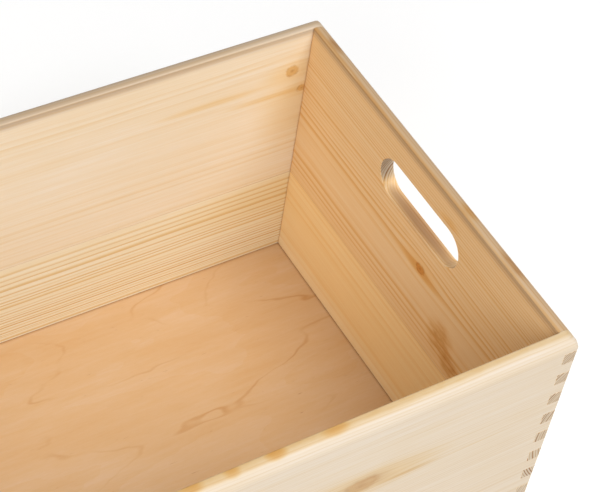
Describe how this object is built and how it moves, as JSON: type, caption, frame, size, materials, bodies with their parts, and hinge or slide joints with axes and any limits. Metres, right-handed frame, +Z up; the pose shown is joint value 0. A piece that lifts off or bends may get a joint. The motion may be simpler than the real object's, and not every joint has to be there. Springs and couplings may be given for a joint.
{
  "type": "wooden toy box",
  "caption": "Open rectangular toy box of solid pine boards, with finger-jointed corners, a rounded rim, a hand slot in each end wall and a plywood base held in a groove.",
  "frame": {"origin": "middle of the underside, on the surface that the box stands on", "axes": "+X along the box towards the right end wall, +Y from the front wall to the back wall, +Z up"},
  "size_m": [0.6, 0.4, 0.3],
  "materials": {
    "pine": "planed and sanded, unfinished, matt",
    "birch_plywood": "sanded rotary-cut birch face, faint satin"
  },
  "bodies": {
    "root": {"front_upper_board": "pine", "front_lower_board": "pine", "back_upper_board": "pine", "back_lower_board": "pine", "left_upper_board": "pine", "left_lower_board": "pine", "right_upper_board": "pine", "right_lower_board": "pine", "base_panel": "birch_plywood"}
  },
  "joints": []
}
